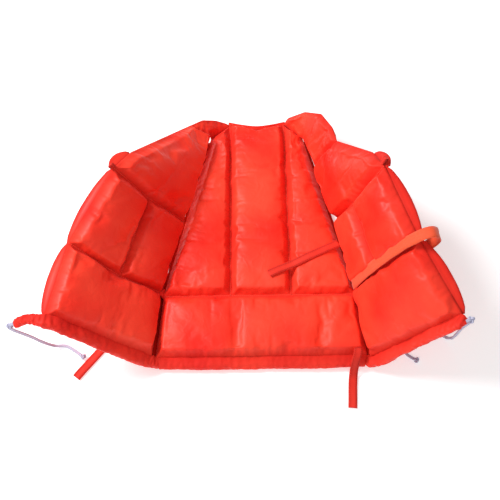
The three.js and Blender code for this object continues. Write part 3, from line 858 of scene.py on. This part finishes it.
# ---------- Waist belt ----------
# Bright orange woven webbing, 25 mm wide. It runs round the outside under the waist seam, through the
# gaps at the sides, and its spare end turns over the right front edge and lies along the lining.
BELT_WIDTH = 25
BELT_THICK = 2.2
webbing, tree, shader = paint("belt_webbing")
threads = put(tree, "ShaderNodeGroup", {"Pitch": 0.0016}, node_tree=weave)
wear = put(tree, "ShaderNodeTexNoise", {"Scale": 26, "Detail": 4})
# Where the woven threads lie low the webbing is darkened. This is painted shade in the hollows of the weave.
weave_hollow_shade = maths(tree, "MULTIPLY", maths(tree, "SUBTRACT", 1.0, threads.outputs["Thread Mask"]), 0.55)
tone = mixed(tree, wear.outputs[0], (0.80, 0.055, 0.006), (1.0, 0.115, 0.012))
ridge = put(tree, "ShaderNodeBump", {"Strength": 0.55, "Distance": 0.0005},
            {"Height": threads.outputs["Height"]})
fill(tree, shader, {"Roughness": 0.62, "Sheen Weight": 0.25},
     {"Base Color": mixed(tree, weave_hollow_shade, tone, (0.62, 0.035, 0.005)), "Normal": ridge.outputs[0]})

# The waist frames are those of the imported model's own corners.
WAIST_CORNERS = {
    "left": ([-233, 153, 26], [-399, 194, 192], [-247, 2, 34], [-186, 330, 40], 1),
    "right": ([220, 157, 31], [312, 162, 246], [238, -5, 28], [196, 335, 33], -1),
}
waist = {}
for side_name, (arm, front, hem, chest, turn) in WAIST_CORNERS.items():
    arm, front, hem, chest = (np.array(p, float) for p in (arm, front, hem, chest))
    along, inward = unit(front - arm), unit(np.cross(chest - hem, front - arm)) * turn
    waist[side_name] = (arm, along, inward, np.cross(inward, along), np.linalg.norm(front - arm))


def on_waist(side_name, profile):
    arm, along, inward = waist[side_name][:3]
    return [arm + along * a + inward * h for a, h in profile]


def belt(name, line, across, seed, ripple=0.35):
    made = ribbon(name, line, across, BELT_WIDTH, BELT_THICK, webbing, ripple=ripple, seed=seed)
    return made


BELT_LEVEL = 28
back_run = evenly([[-200, 143, 2.3], [200, 143, 2.3]], 60)
back_belt = belt("back_belt_run", back_run, (0, 1, 0), 1.0, ripple=0.0)
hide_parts("back_belt")
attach(back_belt, "back_panel")
BELT_REACH = {"left": waist["left"][4] - 74, "right": waist["right"][4] - 80}
for side_name, turn in (("left", -1), ("right", 1)):
    corner = [[turn * 196, 143, 2.2], [turn * 216, 146, 2.2], [turn * 238, 153, 9]]
    run = smooth_line(corner + on_waist(side_name, [
        (a, -BELT_LEVEL) for a in np.linspace(26, BELT_REACH[side_name], 6)]), 10)
    share = np.clip((np.abs(run[:, :1]) - 205) / 50, 0, 1)
    across = (1 - share) * np.array([0, 1.0, 0]) + share * waist[side_name][3] * turn
    piece = belt(f"{side_name}_belt_run", run, across, 2.0 + turn)
    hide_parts(f"{side_name}_belt")
    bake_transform(piece)

reach = waist["right"][4]
tail_line = smooth_line(on_waist("right", [
    (reach - 24, -34), (reach + 6, -35), (reach + 28, -27), (reach + 36, -9), (reach + 25, 7),
    (reach + 2, 17), (reach - 26, 25), (reach / 2, 31), (50, 28), (14, 24)]), 14)
tail = belt("belt_spare_end", tail_line, waist["right"][3], 6.0, ripple=1.4)
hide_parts("belt_tail")
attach(tail, "right_front")


# ---------- Buckle ----------
# A parted side-release buckle in black moulded plastic, a pronged plug and its socket, on the outside of
# the fronts. Edges are slightly rounded and the broad faces carry grip ribs.
black_plastic, tree, shader = paint("buckle_plastic")
grain = put(tree, "ShaderNodeTexNoise", {"Scale": 1600, "Detail": 2})
scuff = put(tree, "ShaderNodeTexNoise", {"Scale": 60, "Detail": 5})
bump = put(tree, "ShaderNodeBump", {"Strength": 0.2, "Distance": 0.0001}, {"Height": grain.outputs[0]})
fill(tree, shader, links={
    "Base Color": mixed(tree, scuff.outputs[0], (0.012, 0.012, 0.013), (0.035, 0.034, 0.036)),
    "Roughness": maths(tree, "ADD", maths(tree, "MULTIPLY", scuff.outputs[0], 0.2), 0.3),
    "Normal": bump.outputs[0]})
for name in ("buckle_plug", "buckle_socket"):
    half = frame["nodes"][name]
    half.data.materials.clear()
    half.data.materials.append(black_plastic)
    edge = half.modifiers.new("moulded_edge", "BEVEL")
    edge.width = 0.0008
    edge.segments = 2
    edge.limit_method = "ANGLE"
RIB_COUNT = 4
RIBS = {
    "plug_ribs": ("left", "plug", BELT_REACH["left"] + 14, 3.2 * -0.6, 34.1),
    "socket_ribs": ("right", "right_front", BELT_REACH["right"] + 18, 3.2, 38.1),
}
for name, (side_name, body, begin, pitch, level) in RIBS.items():
    points, faces = [], []
    arm, along, inward, across = waist[side_name][:4]
    for k in range(RIB_COUNT):
        centre = arm + along * (begin + k * pitch) - inward * level
        rings = [[centre + across * w + along * 0.9 * math.cos(a) * fat - inward * 0.8 * math.sin(a) * fat
                  for a in np.linspace(0, 2 * math.pi, 9)[:-1]]
                 for w, fat in ((-12, 0.4), (-11, 1), (0, 1), (11, 1), (12, 0.4))]
        more, quads = lofted(rings)
        faces += [tuple(i + len(points) for i in f) for f in quads]
        points += list(more)
    ribs = mesh_piece(name, points, faces, material=black_plastic)
    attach(ribs, body)


# ---------- Ties ----------
# Strips of the outer nylon folded to 19 mm and stitched along both edges. One is sewn to the back's
# lining at the right armhole, one at its right side near the hem. The left one is sewn to the back's outer
# face at the waist seam and comes out on the ground from under the left front.
TIE_WIDTH = 19
TIE_THICK = 2.4
TIE_CLEAR = 2.4
DROP_FROM = 0.3
stitched, stitched_in, stitched_out = node_group(
    "edge_stitches",
    [("From Edge", "NodeSocketFloat", 0.003), ("Pitch", "NodeSocketFloat", 0.0045)],
    [("Mask", "NodeSocketFloat")])
place_node = put(stitched, "ShaderNodeAttribute", attribute_name="cloth_place")
parts_node = put(stitched, "ShaderNodeSeparateXYZ", links={0: place_node.outputs["Vector"]})
from_line = maths(stitched, "SUBTRACT", parts_node.outputs[2], stitched_in.outputs["From Edge"])
on_line = maths(stitched, "LESS_THAN", maths(stitched, "ABSOLUTE", from_line), 0.00055)
turns = maths(stitched, "DIVIDE", parts_node.outputs[0], stitched_in.outputs["Pitch"])
along_line = maths(stitched, "FRACT", turns)
stitched.links.new(maths(stitched, "MULTIPLY", on_line, maths(stitched, "LESS_THAN", along_line, 0.62)),
                   stitched_out.inputs["Mask"])

tie_nylon = nylon("tie_nylon", (0.72, 0.022, 0.010), (0.86, 0.04, 0.02), 0.5)
tree = tie_nylon.node_tree
shader = tree.nodes["Principled BSDF"]
mask = put(tree, "ShaderNodeGroup", {"From Edge": 0.0032, "Pitch": 0.0046},
           node_tree=stitched).outputs["Mask"]
plain, smooth = (shader.inputs[key].links[0].from_socket for key in ("Base Color", "Normal"))
dimple = put(tree, "ShaderNodeBump", {"Strength": 0.6, "Distance": 0.0006},
             {"Height": maths(tree, "SUBTRACT", 1.0, mask), "Normal": smooth})
fill(tree, shader, links={"Base Color": mixed(tree, mask, plain, (0.42, 0.008, 0.006)),
                          "Normal": dimple.outputs[0]})

TIES = {
    "back_tie": ([[180, 259, 48], [150, 245, 48.5], [118, 230, 48], [90, 217, 47], [66, 206, 45.5],
                  [42, 195, 47], [19, 184, 47.5]], [-0.42, 0.90, 0.05], 4.0),
    "right_side_tie": ([[205, 9, 46], [203, -2, 43], [200, -12, 38], [198, -20, 29], [196.5, -29, 16],
                        [195, -42, 5], [193, -60, 3], [191, -85, 2.6], [189, -108, 2.2]], [1, 0.14, 0], 5.0),
    "left_side_tie": ([[-224, 160, 2.6], [-246, 144, 2.2], [-280, 114, 2.2], [-315, 76, 2.2], [-340, 44, 2.6],
                       [-365, 12, 2.2], [-388, -17, 3.0], [-401, -34, 2.4]], [0.79, -0.61, 0], 6.0),
}


def laid_on(line, across, supports, clear):
    """The line dropped onto what lies under the strip's width, and eased between the high points."""
    trees = []
    for support in supports:
        trees.append(BVHTree.FromPolygons([v.co for v in support.data.vertices],
                                          [tuple(f.vertices) for f in support.data.polygons]))
    heights = []
    for point in line:
        best = 0.0
        for shift in (-0.9, -0.45, 0, 0.45, 0.9):
            start = Vector(placed(point + unit(across) * shift * TIE_WIDTH / 2))
            start.z = DROP_FROM
            for tree in trees:
                hit = tree.ray_cast(start, Vector((0, 0, -1)))[0]
                if hit is not None:
                    best = max(best, hit.z * 1000)
        heights.append(best)
    heights = np.array(heights)
    padded_heights = np.pad(heights, 6, mode="edge")
    eased = np.array([padded_heights[k:k + 13].max() for k in range(len(heights))])
    eased = np.convolve(np.pad(eased, 4, mode="edge"), np.ones(9) / 9, "valid")
    return np.column_stack([line[:, :2], np.maximum(eased, heights) + clear])


for name, (points, across, seed) in TIES.items():
    line = smooth_line(points, 12)
    if name == "back_tie":
        line = laid_on(line, across, [p for p in pads if p.name.startswith("back")], TIE_CLEAR)
    piece = ribbon(f"{name}_strip", line, across, TIE_WIDTH, TIE_THICK, tie_nylon, ripple=0.9, seed=seed)
    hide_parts(name)
    if name == "left_side_tie":
        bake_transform(piece)
    else:
        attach(piece, name)

# ---------- Chest loops ----------
# A short loop of folded nylon is sewn into each front's opening edge, at the chest seam. The left one is
# small and the right one stands out further.
LOOP_START = {"left": 2, "right": 12}
LOOP_SIZE = {"left": 0.55, "right": 0.9}
for side_name, turn in (("left", 1), ("right", -1)):
    c = {key: np.array(value, float) for key, value in FRONTS[side_name].items()}
    start = c["chest_front"] + unit(c["neck_front"] - c["chest_front"]) * LOOP_START[side_name]
    outward = unit(start - c["chest_mid"])
    upward = unit(c["neck_front"] - start)
    lift = unit(np.cross(outward, upward)) * turn
    loop = smooth_line([start + LOOP_SIZE[side_name] * (outward * a + lift * b) for a, b in (
        (-4, 2), (10, 5), (19, 2), (18, -3), (9, -4), (-4, -2))], 8)
    piece = ribbon(f"{side_name}_chest_loop", loop, upward, 13, 1.4, tie_nylon, ripple=1.2, seed=9.0)
    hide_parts(f"{side_name}_chest_tab")
    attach(piece, f"{side_name}_front")
